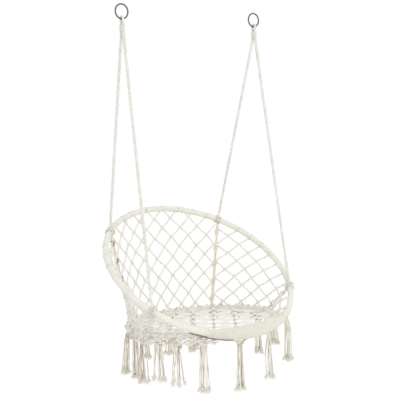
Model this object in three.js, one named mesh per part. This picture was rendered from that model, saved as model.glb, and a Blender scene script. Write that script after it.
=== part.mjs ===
// A hammock chair: two steel rings carry four cotton ropes, the ropes carry a tilted hoop,
// and knotted cotton hangs a smaller seat hoop inside it, with a web to sit on and a fringe.
// Sizes are in millimetres, angles in degrees, +Z is up and the front of the chair faces -Y.
// The origin lies midway between the two places where the rings sit on their hooks.
// Round a hoop, angles are counted from its front towards +X.
import * as THREE from 'three';

const fullTurn = 360;
const degree = (2 * Math.PI) / fullTurn;

// Steel rings that the chair hangs from
const ringSpacing = 638;
const ringOuterDiameter = 60;
const ringWireDiameter = 6;
const ringWireSides = 8;
const ringSteps = 24;

// Rope eye round each ring's wire, and the whipping that closes it
const eyeRopeDiameter = 10;
const eyeClearance = 0.5;
const eyeLegGap = 0.8;
const eyeSides = 6;
const eyeArcSteps = 10;
const eyeArc = 205;
const eyeLength = 46;
const whippingCordDiameter = 3.6;
const whippingLength = 24;
const whippingTurns = 5;
const whippingClearance = 1.2;

// Ropes from the eyes to the upper hoop
const ropeDiameter = 12;
const ropeSides = 8;

// Upper hoop, measured outside its wrapping
const hoopDiameter = 800;
const hoopTilt = 33.6;
const hoopBelowHooks = 1016;
const hoopForwardOfRings = 2.6;

// Seat hoop, lashed behind the front of the upper hoop and a little above it
const seatHoopDiameter = 612;
const seatHoopTilt = -3.5;
const frontHoopGap = 1;
const frontLashingSlope = 34;

// Both hoops are steel tube inside a cotton wrapping
const wrappingDiameter = 25;
const tubeDiameter = 19;
const tubeWall = 1.2;
const wrappingClearance = 0.3;
const hoopJointGap = 0.6;
const hoopSides = 8;
const boreSides = 6;
const hoopSteps = 32;

// Places round the hoops where the ropes and the thick sinnets are tied
const frontTieAngle = 60.7;
const backTieAngle = 134.8;
const frontSeatTieAngle = 80;
const backSeatTieAngle = 135.7;

// Cord wound round a hoop at each tie
const hitchCordDiameter = 5.5;
const hitchTurns = 4;
const seatHitchCordDiameter = 4.5;
const seatHitchTurns = 3;
const windingGap = 1.2;
const windingSteps = 8;
const windingSides = 4;
const seatingGap = 0.3;

// Thick plaited sinnets from the upper hoop to the seat hoop
const sinnetDiameter = 18;
const sinnetSides = 6;
const sinnetKnotSpacing = 80;
const sinnetStepsPerKnot = 4;
const sinnetWaistShare = 0.78;

// Net between the hoops
const netCordWidth = 5;
const netCordThickness = 5;
const backNetColumns = 29;
const backNetCellHeight = 84;
const sideNetColumns = 21;
const sideNetCellHeight = 71;
const netAboveSeat = 30;
const sideNetWaist = 22;

// Web of the seat
const webCordWidth = 8;
const webCordThickness = 7;
const webCellWidth = 172;
const webCellDepth = 88;
const webTurn = -37;
const webSag = 14;

// Share of a knot's or a cord's reach under which it isn't made
const leastKnotShare = 0.3;
const leastStubShare = 0.15;

// Places across a cord's end where it is tested
const capShares = [0.25, 0.5, 0.75];

// Lashings that tie the two hoops together at the front
const lashingCordDiameter = 4;
const lashingTurns = 3;
const lashingGap = 2;
const lashingStepsPerHoop = 5;
const lashingAngles = [-17, -1, 11];

// Fringe of tassels, all but one under the seat hoop. Each has its own share of the full length.
const tasselPlaces = [
  { under: 'seat', angle: -160, lengthShare: 0.78 },
  { under: 'seat', angle: -126, lengthShare: 0.85 },
  { under: 'seat', angle: -102, lengthShare: 0.84 },
  { under: 'seat', angle: -89, lengthShare: 0.86 },
  { under: 'seat', angle: -72, lengthShare: 0.78 },
  { under: 'seat', angle: -56, lengthShare: 0.84 },
  { under: 'seat', angle: -37, lengthShare: 0.95 },
  { under: 'seat', angle: -9, lengthShare: 1 },
  { under: 'seat', angle: 22, lengthShare: 0.95 },
  { under: 'hoop', angle: 34, lengthShare: 0.84 },
  { under: 'seat', angle: 61, lengthShare: 0.55 },
  { under: 'seat', angle: 90, lengthShare: 0.81 },
  { under: 'seat', angle: 152, lengthShare: 0.81 },
  { under: 'seat', angle: 174, lengthShare: 0.82 },
];
const tasselLength = 222;
const tasselWidth = 34;
const tasselPoints = 10;
const tasselGrooveShare = 0.7;
// Each level of a tassel: how far down it is, how wide along and across the hoop, and how
// deep its grooves reach
const tasselLevelShares = [
  { down: 0, along: 1.25, across: 0.25, groove: 1 },
  { down: 0.17, along: 0.66, across: 0.6, groove: 1 },
  { down: 0.25, along: 0.66, across: 0.66, groove: 1 },
  { down: 0.31, along: 0.46, across: 0.46, groove: 1 },
  { down: 0.66, along: 0.72, across: 0.72, groove: tasselGrooveShare },
  { down: 1, along: 1, across: 1, groove: tasselGrooveShare },
];

// Sizes worked out from the ones above
const wrappingRadius = wrappingDiameter / 2;
const hoopRadius = (hoopDiameter - wrappingDiameter) / 2;
const seatRadius = (seatHoopDiameter - wrappingDiameter) / 2;
const ringRadius = (ringOuterDiameter - ringWireDiameter) / 2;
const ringMiddleZ = ringWireDiameter - ringOuterDiameter / 2;
const ringBottomZ = ringMiddleZ - ringRadius;
const eyeBottomZ = ringBottomZ - eyeLength;

const up = new THREE.Vector3(0, 0, 1);
const sideways = new THREE.Vector3(1, 0, 0);

const root = new THREE.Group();
const chair = new THREE.Group();
chair.position.set(0, -hoopForwardOfRings, -hoopBelowHooks);
root.add(chair);

function makeMaterial(color, roughness, metalness) {
  return new THREE.MeshStandardMaterial({ color, roughness, metalness });
}

const ringSteel = makeMaterial(0x4c4c50, 0.35, 1);
const tubeSteel = makeMaterial(0x707276, 0.5, 1);
const cottonRope = makeMaterial(0xeee6d4, 0.9, 0);
const cottonWrapping = makeMaterial(0xf0e9d9, 0.85, 0);
const cottonCord = makeMaterial(0xeee7d6, 0.9, 0);

function addPart(parent, name, geometry, material) {
  const mesh = new THREE.Mesh(geometry, material.clone());
  mesh.name = name;
  parent.add(mesh);
  return mesh;
}

// A closed mesh from shared vertices and triangles that already face outwards
function meshFrom(vertices, faces) {
  const geometry = new THREE.BufferGeometry();
  const positions = vertices.flatMap((vertex) => vertex.toArray());
  geometry.setAttribute('position', new THREE.Float32BufferAttribute(positions, 3));
  geometry.setIndex(faces.flat());
  geometry.computeVertexNormals();
  return geometry;
}

function quad(a, b, c, d) {
  return [[a, b, c], [a, c, d]];
}

function middleOf(points) {
  const sum = points.reduce((total, point) => total.add(point), new THREE.Vector3());
  return sum.divideScalar(points.length);
}

// A solid lofted through rings of points, which run anticlockwise round its direction
function loft(rings) {
  const sides = rings[0].length;
  const vertices = rings.flat();
  const faces = [];
  for (let level = 0; level + 1 < rings.length; level += 1) {
    for (let side = 0; side < sides; side += 1) {
      const next = (side + 1) % sides;
      const here = level * sides;
      const there = here + sides;
      faces.push(...quad(here + side, here + next, there + next, there + side));
    }
  }
  const last = (rings.length - 1) * sides;
  vertices.push(middleOf(rings[0]), middleOf(rings.at(-1)));
  for (let side = 0; side < sides; side += 1) {
    const next = (side + 1) % sides;
    faces.push([rings.length * sides, next, side]);
    faces.push([rings.length * sides + 1, last + side, last + next]);
  }
  return meshFrom(vertices, faces);
}

// A tube through a row of places. One of its edges follows outwardAt, where that is given.
function sweptTube(places, radiusAt, sides, outwardAt) {
  const normal = new THREE.Vector3();
  const rings = places.map((place, index) => {
    const before = places[Math.max(index - 1, 0)];
    const after = places[Math.min(index + 1, places.length - 1)];
    const along = after.clone().sub(before).normalize();
    if (outwardAt) {
      normal.copy(outwardAt(index));
    } else if (index === 0) {
      normal.copy(Math.abs(along.z) > Math.SQRT1_2 ? sideways : up);
    }
    normal.addScaledVector(along, -normal.dot(along)).normalize();
    const across = along.clone().cross(normal);
    return Array.from({ length: sides }, (_, side) => {
      const angle = (side / sides) * fullTurn * degree;
      return place.clone()
        .addScaledVector(normal, Math.cos(angle) * radiusAt(index))
        .addScaledVector(across, Math.sin(angle) * radiusAt(index));
    });
  });
  return loft(rings);
}

// Least gap between the turns of a winding, measured on the places that it runs through
function leastTurnGap(places, stepsPerTurn, diameter) {
  let least = Infinity;
  places.forEach((place, index) => {
    places.slice(index + Math.ceil(stepsPerTurn / 2)).forEach((other) => {
      least = Math.min(least, place.distanceTo(other) - diameter);
    });
  });
  return least;
}

// A winding is one unbroken tube. Its ends run straight on for one diameter.
function addWinding(parent, name, turns, stepsPerTurn, diameter) {
  const [first, second] = turns;
  const [before, last] = turns.slice(-2);
  const start = first.place.clone().sub(second.place).setLength(diameter).add(first.place);
  const end = last.place.clone().sub(before.place).setLength(diameter).add(last.place);
  const all = [
    { place: start, outward: first.outward }, ...turns, { place: end, outward: last.outward },
  ];
  const places = all.map((turn) => turn.place);
  const gap = leastTurnGap(places, stepsPerTurn, diameter);
  console.log(`${name}: least gap between turns ${gap.toFixed(2)} mm`);
  const tube = sweptTube(places, () => diameter / 2, windingSides, (at) => all[at].outward);
  return addPart(parent, name, tube, cottonRope);
}

// How much further out the corners of a winding lie than the middles of its steps
function cornerShare(stepsPerTurn) {
  return 1 / Math.cos((fullTurn / stepsPerTurn / 2) * degree);
}

// One hoop's own frame: its plane is tilted about X and its middle lies at middle. The hoop
// is bent in short straight steps, which start at its joint.
function makeHoop(radius, tilt, middle, jointAngle) {
  const group = new THREE.Group();
  group.position.copy(middle);
  group.rotation.x = tilt * degree;
  group.updateMatrix();
  const inverse = group.matrix.clone().invert();
  const gapAngle = hoopJointGap / radius / degree;
  const firstAngle = jointAngle + gapAngle / 2;
  const stepAngle = (fullTurn - gapAngle) / hoopSteps;
  const stepRadius = radius * Math.cos((stepAngle / 2) * degree);
  // Cosine of the angle between a direction and the middle of the step that it meets
  const leanShare = (angle) => {
    const turned = (((angle - firstAngle) % fullTurn) + fullTurn) % fullTurn;
    return Math.cos(((turned % stepAngle) - stepAngle / 2) * degree);
  };
  // A point outside the centre line by one distance and above the hoop's plane by another
  const local = (angle, outside = 0, above = 0) => {
    const reach = (stepRadius + outside) / leanShare(angle);
    return new THREE.Vector3(
      Math.sin(angle * degree) * reach, -Math.cos(angle * degree) * reach, above,
    );
  };
  const at = (angle, outside, above) => local(angle, outside, above).applyMatrix4(group.matrix);
  const tangent = (angle) => (
    new THREE.Vector3(Math.cos(angle * degree), Math.sin(angle * degree), 0)
      .transformDirection(group.matrix)
  );
  const angleOf = (point) => {
    const inPlane = point.clone().applyMatrix4(inverse);
    return Math.atan2(inPlane.x, -inPlane.y) / degree;
  };
  const distance = (point) => {
    const inPlane = point.clone().applyMatrix4(inverse);
    const reach = Math.hypot(inPlane.x, inPlane.y) * leanShare(angleOf(point));
    return Math.hypot(reach - stepRadius, inPlane.z);
  };
  return { radius, group, firstAngle, gapAngle, local, at, tangent, distance, angleOf };
}

const hoop = makeHoop(hoopRadius, hoopTilt, new THREE.Vector3(), -frontTieAngle);
const frontReach = wrappingDiameter + frontHoopGap;
const seatMiddle = hoop.at(0).add(new THREE.Vector3(
  0,
  frontReach * Math.cos(frontLashingSlope * degree) + seatRadius * Math.cos(seatHoopTilt * degree),
  frontReach * Math.sin(frontLashingSlope * degree) + seatRadius * Math.sin(seatHoopTilt * degree),
));
const seat = makeHoop(seatRadius, seatHoopTilt, seatMiddle, -backSeatTieAngle);
chair.add(hoop.group, seat.group);

// The centre line of a bent tube whose two ends leave a small gap between them
class HoopLine extends THREE.Curve {
  constructor(frame) {
    super();
    this.frame = frame;
  }

  getPoint(share, target = new THREE.Vector3()) {
    const { radius, firstAngle, gapAngle } = this.frame;
    const angle = (firstAngle + share * (fullTurn - gapAngle)) * degree;
    return target.set(Math.sin(angle) * radius, -Math.cos(angle) * radius, 0);
  }
}

function polygon(radius, sides) {
  return Array.from({ length: sides }, (_, side) => {
    const angle = (side / sides) * fullTurn * degree;
    return new THREE.Vector2(Math.cos(angle) * radius, Math.sin(angle) * radius);
  });
}

function hoopShell(line, outerRadius, innerRadius, innerSides) {
  const section = new THREE.Shape(polygon(outerRadius, hoopSides));
  section.holes.push(new THREE.Path(polygon(innerRadius, innerSides)));
  return new THREE.ExtrudeGeometry(section, {
    steps: hoopSteps,
    extrudePath: line,
    bevelEnabled: false,
  });
}

// Steel tube and cotton wrapping of one hoop. Their joint lies under a hitch.
function addHoop(frame, name) {
  const line = new HoopLine(frame);
  const tubeRadius = tubeDiameter / 2;
  const tube = hoopShell(line, tubeRadius, tubeRadius - tubeWall, boreSides);
  const cover = hoopShell(line, wrappingRadius, tubeRadius + wrappingClearance, hoopSides);
  addPart(frame.group, `${name}_tube`, tube, tubeSteel);
  addPart(frame.group, `${name}_wrapping`, cover, cottonWrapping);
}

// Cord wound round a hoop: the radius of its path, its reach from the hoop's centre line
// and half its length along the hoop
function hitchSize(cordDiameter, turns) {
  const path = (wrappingRadius + cordDiameter / 2 + seatingGap) * cornerShare(windingSteps);
  const pitch = cordDiameter + windingGap;
  const half = (turns * pitch + cordDiameter) / 2;
  return { cordDiameter, turns, path, pitch, half, reach: path + cordDiameter / 2 };
}

const hitch = hitchSize(hitchCordDiameter, hitchTurns);
const seatHitch = hitchSize(seatHitchCordDiameter, seatHitchTurns);

function addHitch(frame, name, tieAngle, size) {
  const turns = [];
  for (let step = 0; step <= size.turns * windingSteps; step += 1) {
    const turn = step / windingSteps;
    // Half a step on, the middles of the steps cross the edges of the wrapping
    const around = (turn + 1 / 2 / windingSteps) * fullTurn * degree;
    const angle = tieAngle + ((turn - size.turns / 2) * size.pitch) / frame.radius / degree;
    const outside = Math.cos(around);
    const above = Math.sin(around);
    const place = frame.local(angle, size.path * outside, size.path * above);
    const outward = frame.local(angle, outside, above).sub(frame.local(angle));
    turns.push({ place, outward });
  }
  return addWinding(frame.group, name, turns, windingSteps, size.cordDiameter);
}

const ties = [
  { name: 'front_left', side: -1, front: true },
  { name: 'back_left', side: -1, front: false },
  { name: 'front_right', side: 1, front: true },
  { name: 'back_right', side: 1, front: false },
].map((tie) => ({
  ...tie,
  angle: tie.side * (tie.front ? frontTieAngle : backTieAngle),
  seatAngle: tie.side * (tie.front ? frontSeatTieAngle : backSeatTieAngle),
}));

// How far along a line from its tie a piece starts, so that its end seats on the winding
// there. The line is in the chair's coordinates, the winding in its hoop's group.
function seatingReach(winding, frame, tieAngle, along, radius, endRadius) {
  const start = frame.at(tieAngle);
  const { position } = winding.geometry.attributes;
  const triangles = winding.geometry.index.array;
  const samples = windingSides * 2;
  const corner = (index) => (
    new THREE.Vector3().fromBufferAttribute(position, index).applyMatrix4(frame.group.matrix)
  );
  const leanShare = Math.abs(along.dot(frame.tangent(tieAngle)));
  let reach = (wrappingRadius + radius * leanShare) / Math.sqrt(1 - leanShare * leanShare);
  for (let index = 0; index < triangles.length; index += 3) {
    const corners = [0, 1, 2].map((offset) => corner(triangles[index + offset]));
    for (let side = 0; side < corners.length; side += 1) {
      for (let sample = 0; sample < samples; sample += 1) {
        const next = corners[(side + 1) % corners.length];
        const point = corners[side].clone().lerp(next, sample / samples).sub(start);
        const height = point.dot(along);
        const aside = point.addScaledVector(along, -height).length();
        reach = aside < endRadius + seatingGap ? Math.max(reach, height) : reach;
      }
    }
  }
  return reach + seatingGap;
}

// Steel ring, flat to the front. The inner top of its wire is at the height of the hook.
function addRing(side, name) {
  const shape = new THREE.TorusGeometry(ringRadius, ringWireDiameter / 2, ringWireSides, ringSteps);
  const ring = addPart(root, `${name}_ring`, shape, ringSteel);
  ring.position.set((side * ringSpacing) / 2, 0, ringMiddleZ);
  ring.rotation.x = (fullTurn / 4) * degree;
}

// Rope eye: up one leg, over the ring's wire and down the other leg
function addEye(side, name) {
  const bend = ringWireDiameter / 2 + eyeClearance + eyeRopeDiameter / 2;
  const legOffset = (eyeRopeDiameter + eyeLegGap) / 2;
  const neckZ = eyeBottomZ + whippingLength;
  const place = (y, z) => new THREE.Vector3((side * ringSpacing) / 2, y, z);
  const places = [place(-legOffset, eyeBottomZ), place(-legOffset, neckZ)];
  for (let step = 0; step <= eyeArcSteps; step += 1) {
    const angle = ((step / eyeArcSteps - 1 / 2) * eyeArc * degree);
    places.push(place(Math.sin(angle) * bend, ringBottomZ + Math.cos(angle) * bend));
  }
  places.push(place(legOffset, neckZ), place(legOffset, eyeBottomZ));
  const eye = sweptTube(places, () => eyeRopeDiameter / 2, eyeSides);
  addPart(root, `${name}_rope_eye`, eye, cottonRope);
}

// Whipping wound round both legs of an eye on an oval path
function addWhipping(side, name) {
  const clear = (whippingCordDiameter / 2 + whippingClearance) * cornerShare(windingSteps);
  const reachY = (eyeRopeDiameter + eyeLegGap / 2) * cornerShare(windingSteps) + clear;
  const reachX = (eyeRopeDiameter / 2) * cornerShare(windingSteps) + clear;
  const pitch = (whippingLength - whippingCordDiameter) / whippingTurns;
  const turns = [];
  for (let step = 0; step <= whippingTurns * windingSteps; step += 1) {
    const turn = step / windingSteps;
    const across = Math.cos(turn * fullTurn * degree);
    const along = Math.sin(turn * fullTurn * degree);
    const place = new THREE.Vector3(
      (side * ringSpacing) / 2 + reachX * across,
      reachY * along,
      eyeBottomZ + whippingCordDiameter / 2 + turn * pitch,
    );
    turns.push({ place, outward: new THREE.Vector3(across / reachX, along / reachY, 0) });
  }
  addWinding(root, `${name}_eye_whipping`, turns, windingSteps, whippingCordDiameter);
}

// Straight rope from just under its eye to the hitch that holds it on the upper hoop
function addRope(tie, winding) {
  const radius = ropeDiameter / 2;
  const start = hoop.at(tie.angle).add(chair.position);
  const top = new THREE.Vector3(
    (tie.side * ringSpacing) / 2,
    (tie.front ? -1 : 1) * (radius + eyeLegGap / 2),
    eyeBottomZ - seatingGap,
  );
  const along = top.clone().sub(start).normalize();
  top.addScaledVector(along, (-radius * Math.hypot(along.x, along.y)) / along.z);
  start.addScaledVector(along, seatingReach(winding, hoop, tie.angle, along, radius, radius));
  const shape = new THREE.CylinderGeometry(radius, radius, top.distanceTo(start), ropeSides);
  const mesh = addPart(root, `${tie.name}_rope`, shape, cottonRope);
  mesh.position.copy(middleOf([top, start]));
  mesh.quaternion.setFromUnitVectors(new THREE.Vector3(0, 1, 0), along);
}

// Plaited sinnet, swollen at its knots, from a hitch on the upper hoop to one on the seat
function addSinnet(tie, winding, seatWinding) {
  const top = hoop.at(tie.angle);
  const bottom = seat.at(tie.seatAngle);
  const along = bottom.clone().sub(top).normalize();
  const back = along.clone().negate();
  const radius = sinnetDiameter / 2;
  const waist = radius * sinnetWaistShare;
  const startReach = seatingReach(winding, hoop, tie.angle, along, radius, waist);
  const endReach = seatingReach(seatWinding, seat, tie.seatAngle, back, radius, waist);
  const from = top.clone().addScaledVector(along, startReach);
  const to = bottom.clone().addScaledVector(back, endReach);
  const knots = Math.max(Math.round(from.distanceTo(to) / sinnetKnotSpacing), 1);
  const steps = knots * sinnetStepsPerKnot;
  const places = Array.from({ length: steps + 1 }, (_, step) => (
    from.clone().lerp(to, step / steps)
  ));
  const radiusAt = (step) => {
    const swell = (1 - Math.cos((step / sinnetStepsPerKnot) * fullTurn * degree)) / 2;
    return radius * (sinnetWaistShare + (1 - sinnetWaistShare) * swell);
  };
  addPart(chair, `${tie.name}_sinnet`, sweptTube(places, radiusAt, sinnetSides), cottonCord);
}

// The two points that a lashing holds together, and its half length along the upper hoop
function makeLashing(angle) {
  const front = hoop.at(angle);
  const seatAngle = seat.angleOf(front);
  const pitch = lashingCordDiameter + lashingGap;
  const half = (lashingTurns * pitch + lashingCordDiameter) / 2;
  return { angle, front, seatAngle, back: seat.at(seatAngle), pitch, half };
}

const lashings = lashingAngles.map(makeLashing);
const lashingStepsPerTurn = lashingStepsPerHoop * 2;
const lashingFacetShare = cornerShare((lashingStepsPerHoop - 1) * 2);
const lashingPath = (wrappingRadius + lashingCordDiameter / 2 + seatingGap) * lashingFacetShare;

// Half circles round each hoop in turn, joined by straight cord between the hoops
function addLashing(lashing, name) {
  const turns = [];
  for (let step = 0; step <= lashingTurns * lashingStepsPerTurn; step += 1) {
    const turn = step / lashingStepsPerTurn;
    const shift = ((turn - lashingTurns / 2) * lashing.pitch) / hoop.radius / degree;
    const { front, back, seatAngle } = makeLashing(lashing.angle + shift);
    const inTurn = step % lashingStepsPerTurn;
    const onBack = inTurn >= lashingStepsPerHoop;
    const inArc = (inTurn % lashingStepsPerHoop) / (lashingStepsPerHoop - 1);
    const around = (inArc * fullTurn) / 2 + (onBack ? -1 : 1) * (fullTurn / 4);
    const along = onBack ? seat.tangent(seatAngle) : hoop.tangent(lashing.angle + shift);
    const towards = back.clone().sub(front);
    towards.addScaledVector(along, -towards.dot(along)).normalize();
    const above = along.clone().cross(towards);
    const outward = towards.multiplyScalar(Math.cos(around * degree))
      .addScaledVector(above, Math.sin(around * degree));
    const place = (onBack ? back : front).clone().addScaledVector(outward, lashingPath);
    turns.push({ place, outward });
  }
  addWinding(chair, name, turns, lashingStepsPerTurn, lashingCordDiameter);
}

// The net lies on the straight lines from the seat hoop to the upper hoop, and its rows of
// knots are counted up from the seat hoop
function netReach(angle) {
  return hoop.at(angle).distanceTo(seat.at(angle));
}

function netPoint(angle, above) {
  return seat.at(angle).lerp(hoop.at(angle), above / netReach(angle));
}

const tieLines = ties.map((tie) => (
  { tie, line: new THREE.Line3(hoop.at(tie.angle), seat.at(tie.seatAngle)) }
));

function distanceToLine(line, point) {
  return line.closestPointToPoint(point, true, new THREE.Vector3()).distanceTo(point);
}

function inHitch(point, frame, size, tieAngle) {
  const aside = Math.abs(frame.angleOf(point) - tieAngle) * degree * frame.radius;
  return aside < size.half + seatingGap && frame.distance(point) < size.reach + seatingGap;
}

function inLashing(point, lashing) {
  const along = hoop.tangent(lashing.angle);
  const aside = point.clone().sub(lashing.front).dot(along);
  const beside = point.clone().addScaledVector(along, -aside);
  const line = new THREE.Line3(lashing.front, lashing.back);
  const reach = lashingPath + lashingCordDiameter / 2 + seatingGap;
  return Math.abs(aside) < lashing.half + seatingGap && distanceToLine(line, beside) < reach;
}

// True where a net cord may be: clear of the hoops, sinnets, hitches and lashings
function isClear(point) {
  const least = wrappingRadius + seatingGap;
  if (hoop.distance(point) < least || seat.distance(point) < least) {
    return false;
  }
  const clearOfTies = tieLines.every(({ tie, line }) => (
    distanceToLine(line, point) > sinnetDiameter / 2 + seatingGap
      && !inHitch(point, hoop, hitch, tie.angle)
      && !inHitch(point, seat, seatHitch, tie.seatAngle)
  ));
  return clearOfTies && !lashings.some((lashing) => inLashing(point, lashing));
}

// Share of the way from one point to another that is free, up to the first obstacle
function freeShare(from, to, isFree) {
  const samples = 24;
  const halvings = 12;
  const freeAt = (share) => isFree(from.clone().lerp(to, share));
  let free = 0;
  let blocked = 0;
  while (blocked < 1 && freeAt(blocked)) {
    free = blocked;
    blocked += 1 / samples;
  }
  if (free === blocked || !freeAt(free)) {
    return 0;
  }
  for (let halving = 0; halving < halvings; halving += 1) {
    const middle = (free + blocked) / 2;
    if (freeAt(middle)) {
      free = middle;
    } else {
      blocked = middle;
    }
  }
  return free;
}

// A net is a grid of columns and rows with a knot wherever their sum is even. A knot is a
// small diamond with its corners right, up, left and down, and its four sides take cords.
const cordSteps = [
  { column: 1, row: -1, from: 0, to: 1 },
  { column: -1, row: -1, from: 1, to: 2 },
  { column: -1, row: 1, from: 2, to: 3 },
  { column: 1, row: 1, from: 3, to: 0 },
];

function knotKey(column, row) {
  return `${column},${row}`;
}

// Directions of a net at a knot: along its rows, down its columns and out of its surface
function netAxes(net, column, row) {
  const right = net.place(column + 1, row).sub(net.place(column - 1, row)).normalize();
  const down = net.place(column, row + 1).sub(net.place(column, row - 1));
  down.addScaledVector(right, -down.dot(right)).normalize();
  return { right, down, outward: down.clone().cross(right) };
}

// A test for the middle and both faces of a cord that lies in the net's surface
function freeOn(outward, net) {
  const half = outward.clone().multiplyScalar(net.thickness / 2);
  return (point) => (
    isClear(point) && isClear(point.clone().add(half)) && isClear(point.clone().sub(half))
  );
}

function makeKnot(net, column, row) {
  const centre = net.place(column, row);
  const { right, down, outward } = netAxes(net, column, row);
  const isFree = freeOn(outward, net);
  const reach = net.width * Math.SQRT1_2;
  const shares = [];
  const corners = [[right, 1], [down, -1], [right, -1], [down, 1]].map(([axis, sign]) => {
    const corner = centre.clone().addScaledVector(axis, sign * reach);
    const share = freeShare(centre, corner, isFree);
    shares.push(share);
    return centre.clone().lerp(corner, share);
  });
  return { column, row, centre, outward, corners, leastShare: Math.min(...shares) };
}

function findKnots(net) {
  const knots = new Map();
  for (let column = net.firstColumn; column <= net.lastColumn; column += 1) {
    for (let row = net.firstRow; row <= net.lastRow; row += 1) {
      if ((column + row) % 2 === 0 && net.holds(column, row)) {
        const knot = makeKnot(net, column, row);
        if (knot.leastShare > leastKnotShare) {
          knots.set(knotKey(column, row), knot);
        }
      }
    }
  }
  return knots;
}

// Links each knot to the neighbours that a free cord can reach
function linkKnots(knots, net) {
  const samples = 10;
  knots.forEach((knot) => {
    knot.links = cordSteps.map((step, index) => {
      const other = knots.get(knotKey(knot.column + step.column, knot.row + step.row));
      if (!other) {
        return undefined;
      }
      const facing = cordSteps[(index + 2) % cordSteps.length];
      const isFree = freeOn(knot.outward, net);
      const edges = [
        new THREE.Line3(knot.corners[step.from], other.corners[facing.to]),
        new THREE.Line3(knot.corners[step.to], other.corners[facing.from]),
      ];
      const open = edges.every((edge) => Array.from({ length: samples }).every((_, sample) => (
        isFree(edge.at((sample + 1 / 2) / samples, new THREE.Vector3()))
      )));
      return open ? other : undefined;
    });
  });
  knots.forEach((knot) => {
    knot.links = knot.links.map((other, index) => {
      const facing = (index + 2) % cordSteps.length;
      return other && other.links[facing] === knot ? other : undefined;
    });
  });
}

// Keeps the largest group of knots that hang together
function largestGroup(knots) {
  const left = new Set(knots.values());
  let best = [];
  while (left.size > 0) {
    const group = [left.values().next().value];
    left.delete(group[0]);
    for (let index = 0; index < group.length; index += 1) {
      group[index].links.filter((other) => left.has(other)).forEach((other) => {
        group.push(other);
        left.delete(other);
      });
    }
    best = group.length > best.length ? group : best;
  }
  return best;
}

// Where a cord ends that runs from a knot towards a place without one. It keeps to its own
// quarter round that place, so that it doesn't meet the next cord.
function stubEnds(knot, step, net) {
  const column = knot.column + step.column;
  const row = knot.row + step.row;
  const target = net.place(column, row);
  const { right, down } = netAxes(net, column, row);
  const travel = target.clone().sub(knot.centre);
  const isFree = freeOn(knot.outward, net);
  const inQuarter = (point) => {
    const offset = point.clone().sub(target);
    return offset.dot(right) * step.column < -seatingGap && offset.dot(down) * step.row < -seatingGap;
  };
  const corners = [knot.corners[step.from], knot.corners[step.to]];
  const shares = corners.map((corner) => (
    freeShare(corner, corner.clone().add(travel), (point) => inQuarter(point) && isFree(point))
  ));
  const endsAt = (endShares) => corners.map((corner, index) => (
    corner.clone().addScaledVector(travel, endShares[index])
  ));
  const [first, second] = endsAt(shares);
  const leastShare = Math.min(...shares);
  const capIsFree = capShares.every((share) => isFree(first.clone().lerp(second, share)));
  return { leastShare, points: capIsFree ? [first, second] : endsAt([leastShare, leastShare]) };
}

function netGeometry(knots, net) {
  const vertices = [];
  const faces = [];
  // Adds a point of the outer face, and after it the same point of the inner face
  const addPair = (point, outward) => {
    vertices.push(point.clone().addScaledVector(outward, net.thickness / 2));
    vertices.push(point.clone().addScaledVector(outward, -net.thickness / 2));
    return vertices.length - 2;
  };
  // Four long faces of a cord from the side a, b of a knot to the points d, c beyond it
  const addCord = (a, b, c, d) => {
    faces.push(...quad(b, a, c, d), ...quad(a + 1, b + 1, d + 1, c + 1));
    faces.push(...quad(c, a, a + 1, c + 1), ...quad(b, d, d + 1, b + 1));
  };
  knots.forEach((knot) => {
    knot.pairs = knot.corners.map((corner) => addPair(corner, knot.outward));
    const [right, top, left, bottom] = knot.pairs;
    faces.push(...quad(right, top, left, bottom));
    faces.push(...quad(bottom + 1, left + 1, top + 1, right + 1));
  });
  const addStub = (knot, step, a, b) => {
    const ends = stubEnds(knot, step, net);
    if (ends.leastShare < leastStubShare) {
      faces.push(...quad(a, a + 1, b + 1, b));
      return;
    }
    const [c, d] = ends.points.map((point) => addPair(point, knot.outward));
    addCord(a, b, c, d);
    faces.push(...quad(d, c, c + 1, d + 1));
  };
  knots.forEach((knot) => {
    cordSteps.forEach((step, index) => {
      const a = knot.pairs[step.from];
      const b = knot.pairs[step.to];
      const other = knot.links[index];
      const facing = cordSteps[(index + 2) % cordSteps.length];
      if (!other) {
        addStub(knot, step, a, b);
      } else if (index < 2) {
        addCord(a, b, other.pairs[facing.to], other.pairs[facing.from]);
      }
    });
  });
  return meshFrom(vertices, faces);
}

function addNet(name, net) {
  const knots = findKnots(net);
  linkKnots(knots, net);
  addPart(chair, name, netGeometry(largestGroup(knots), net), cottonCord);
}

// Where a sinnet crosses the line that stands on one angle of the seat hoop
function sinnetAngle(tie, angle, above) {
  return tie.seatAngle + (tie.angle - tie.seatAngle) * Math.min(above / netReach(angle), 1);
}

// The net at the back has narrower and taller cells than the rest. It is laid out from the
// middle of the back, and the rest from the sinnets.
const backNet = {
  columns: backNetColumns, cellHeight: backNetCellHeight, waist: 0, middle: fullTurn / 2,
};

function sideNet(middle, waist) {
  return { columns: sideNetColumns, cellHeight: sideNetCellHeight, waist, middle };
}

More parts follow.
